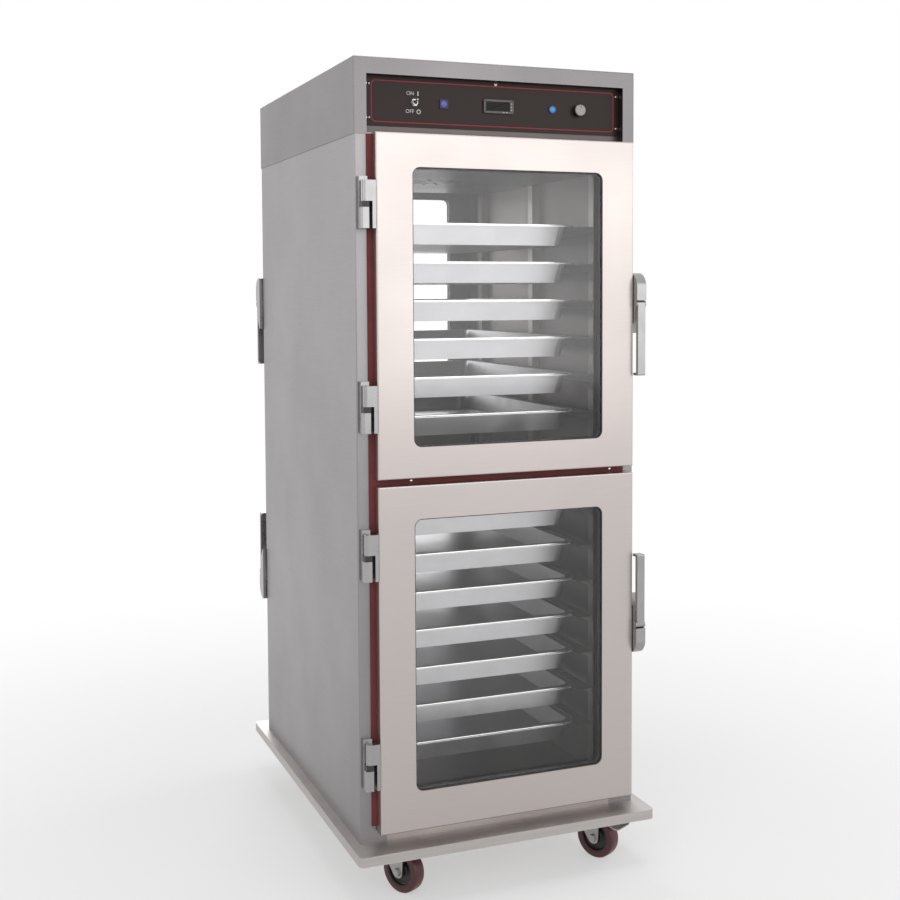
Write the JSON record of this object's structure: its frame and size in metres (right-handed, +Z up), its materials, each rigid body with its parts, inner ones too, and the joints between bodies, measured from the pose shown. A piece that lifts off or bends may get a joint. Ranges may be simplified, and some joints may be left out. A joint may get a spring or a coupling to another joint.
{
  "type": "heated holding and proofing cabinet",
  "caption": "Tall insulated stainless holding cabinet on swivel casters, pass-through with glass half doors front and back, latches, header controls and racks of trays.",
  "frame": {"origin": "on the floor under the middle of the cabinet", "axes": "+Z up, -Y out of the front with the controls, +X to the latch side of the front doors"},
  "size_m": [0.72, 0.98, 1.844],
  "materials": {
    "platform_steel": "brushed",
    "casing_steel": "brushed",
    "door_steel": "brushed",
    "liner_steel": "satin",
    "rack_steel": "satin",
    "mineral_wool": "matte",
    "red_silicone": "matte",
    "dark_silicone": "matte",
    "window_glass": "clear",
    "bright_hardware": "satin",
    "black_nylon": "matte",
    "panel_overlay": "satin",
    "display_plastic": "satin",
    "lamp_lens": "gloss",
    "knob_aluminium": "satin",
    "motor_paint": "satin",
    "fan_aluminium": "satin",
    "element_steel": "matte",
    "tray_aluminium": "satin",
    "zinc_plate": "satin",
    "wheel_polyurethane": "satin"
  },
  "bodies": {
    "cabinet": {"base_platform": "platform_steel", "side_panels": "casing_steel", "door_frames": "casing_steel", "inner_liner": "liner_steel", "wall_insulation": "mineral_wool", "door_gaskets": "red_silicone", "header_cap": "casing_steel", "cord_gland": "black_nylon", "control_carrier": "casing_steel", "control_overlay": "panel_overlay", "panel_hardware": "bright_hardware", "temperature_display": "display_plastic", "pilot_lights": "lamp_lens", "air_baffle": "liner_steel", "fan_motor": "motor_paint", "heating_element": "element_steel", "tray_racks": "rack_steel", "lower_trays": "tray_aluminium", "upper_trays": "tray_aluminium", "frame_hinge_leaves": "bright_hardware", "hinge_cams": "black_nylon", "latch_strikes": "bright_hardware", "caster_plates": "zinc_plate"},
    "toggle": {"toggle_lever": "bright_hardware"},
    "knob": {"temperature_knob": "knob_aluminium"},
    "fan": {"fan_wheel": "fan_aluminium"},
    "front_lower_door": {"front_lower_door_shell": "door_steel", "front_lower_door_liner": "door_steel", "front_lower_door_glass": "window_glass", "front_lower_door_seal": "dark_silicone", "front_lower_door_hardware": "bright_hardware"},
    "front_lower_door_latch": {"front_lower_door_lever": "bright_hardware"},
    "front_upper_door": {"front_upper_door_shell": "door_steel", "front_upper_door_liner": "door_steel", "front_upper_door_glass": "window_glass", "front_upper_door_seal": "dark_silicone", "front_upper_door_hardware": "bright_hardware"},
    "front_upper_door_latch": {"front_upper_door_lever": "bright_hardware"},
    "rear_lower_door": {"rear_lower_door_shell": "door_steel", "rear_lower_door_liner": "door_steel", "rear_lower_door_glass": "window_glass", "rear_lower_door_seal": "dark_silicone", "rear_lower_door_hardware": "bright_hardware"},
    "rear_lower_door_latch": {"rear_lower_door_lever": "bright_hardware"},
    "rear_upper_door": {"rear_upper_door_shell": "door_steel", "rear_upper_door_liner": "door_steel", "rear_upper_door_glass": "window_glass", "rear_upper_door_seal": "dark_silicone", "rear_upper_door_hardware": "bright_hardware"},
    "rear_upper_door_latch": {"rear_upper_door_lever": "bright_hardware"},
    "front_left_swivel": {"front_left_fork": "zinc_plate"},
    "front_left_roller": {"front_left_wheel": "wheel_polyurethane"},
    "front_right_swivel": {"front_right_fork": "zinc_plate"},
    "front_right_roller": {"front_right_wheel": "wheel_polyurethane"},
    "front_right_brake_pedal": {"front_right_brake": "zinc_plate"},
    "rear_left_swivel": {"rear_left_fork": "zinc_plate"},
    "rear_left_roller": {"rear_left_wheel": "wheel_polyurethane"},
    "rear_right_swivel": {"rear_right_fork": "zinc_plate"},
    "rear_right_roller": {"rear_right_wheel": "wheel_polyurethane"},
    "rear_right_brake_pedal": {"rear_right_brake": "zinc_plate"}
  },
  "joints": [
    {"name": "toggle_tilt", "type": "hinge", "parent": "cabinet", "child": "toggle", "pos_m": [-0.1926, -0.4025, 1.75425], "axis": [1, 0, 0], "range_deg": [0, 24]},
    {"name": "knob_turn", "type": "hinge", "parent": "cabinet", "child": "knob", "pos_m": [0.2055, -0.41, 1.75425], "axis": [0, 1, 0], "range_deg": [0, 270]},
    {"name": "fan_spin", "type": "hinge", "parent": "cabinet", "child": "fan", "pos_m": [0, 0, 1.65], "axis": [0, 0, 1], "continuous": true},
    {"name": "front_lower_door_hinge", "type": "hinge", "parent": "cabinet", "child": "front_lower_door", "pos_m": [-0.3228, -0.444, 0.5405], "axis": [0, 0, 1], "range_deg": [-170, 0]},
    {"name": "front_lower_door_latch_pull", "type": "hinge", "parent": "front_lower_door", "child": "front_lower_door_latch", "pos_m": [0.3335, -0.462, 0.5675], "axis": [1, 0, 0], "range_deg": [0, 40]},
    {"name": "front_upper_door_hinge", "type": "hinge", "parent": "cabinet", "child": "front_upper_door", "pos_m": [-0.3228, -0.444, 1.31], "axis": [0, 0, 1], "range_deg": [-170, 0]},
    {"name": "front_upper_door_latch_pull", "type": "hinge", "parent": "front_upper_door", "child": "front_upper_door_latch", "pos_m": [0.3335, -0.462, 1.3125], "axis": [-1, 0, 0], "range_deg": [0, 40]},
    {"name": "rear_lower_door_hinge", "type": "hinge", "parent": "cabinet", "child": "rear_lower_door", "pos_m": [0.3228, 0.444, 0.5405], "axis": [0, 0, 1], "range_deg": [-170, 0]},
    {"name": "rear_lower_door_latch_pull", "type": "hinge", "parent": "rear_lower_door", "child": "rear_lower_door_latch", "pos_m": [-0.3335, 0.462, 0.5675], "axis": [-1, 0, 0], "range_deg": [0, 40]},
    {"name": "rear_upper_door_hinge", "type": "hinge", "parent": "cabinet", "child": "rear_upper_door", "pos_m": [0.3228, 0.444, 1.31], "axis": [0, 0, 1], "range_deg": [-170, 0]},
    {"name": "rear_upper_door_latch_pull", "type": "hinge", "parent": "rear_upper_door", "child": "rear_upper_door_latch", "pos_m": [-0.3335, 0.462, 1.3125], "axis": [1, 0, 0], "range_deg": [0, 40]},
    {"name": "front_left_swivel", "type": "hinge", "parent": "cabinet", "child": "front_left_swivel", "pos_m": [-0.245, -0.364, 0.12], "axis": [0, 0, 1], "continuous": true},
    {"name": "front_left_roll", "type": "hinge", "parent": "front_left_swivel", "child": "front_left_roller", "pos_m": [-0.2283, -0.39476, 0.05], "axis": [0.8788, 0.4772, 0], "continuous": true},
    {"name": "front_right_swivel", "type": "hinge", "parent": "cabinet", "child": "front_right_swivel", "pos_m": [0.245, -0.364, 0.12], "axis": [0, 0, 1], "continuous": true},
    {"name": "front_right_roll", "type": "hinge", "parent": "front_right_swivel", "child": "front_right_roller", "pos_m": [0.2617, -0.39476, 0.05], "axis": [0.8788, 0.4772, 0], "continuous": true},
    {"name": "front_right_brake_press", "type": "hinge", "parent": "front_right_swivel", "child": "front_right_brake_pedal", "pos_m": [0.2679, -0.40618, 0.104], "axis": [0.8788, 0.4772, 0], "range_deg": [0, 18]},
    {"name": "rear_left_swivel", "type": "hinge", "parent": "cabinet", "child": "rear_left_swivel", "pos_m": [-0.245, 0.364, 0.12], "axis": [0, 0, 1], "continuous": true},
    {"name": "rear_left_roll", "type": "hinge", "parent": "rear_left_swivel", "child": "rear_left_roller", "pos_m": [-0.23535, 0.33036, 0.05], "axis": [0.9613, 0.2756, 0], "continuous": true},
    {"name": "rear_right_swivel", "type": "hinge", "parent": "cabinet", "child": "rear_right_swivel", "pos_m": [0.245, 0.364, 0.12], "axis": [0, 0, 1], "continuous": true},
    {"name": "rear_right_roll", "type": "hinge", "parent": "rear_right_swivel", "child": "rear_right_roller", "pos_m": [0.26842, 0.33799, 0.05], "axis": [0.7431, 0.6691, 0], "continuous": true},
    {"name": "rear_right_brake_press", "type": "hinge", "parent": "rear_right_swivel", "child": "rear_right_brake_pedal", "pos_m": [0.27712, 0.32833, 0.104], "axis": [0.7431, 0.6691, 0], "range_deg": [0, 18]}
  ]
}
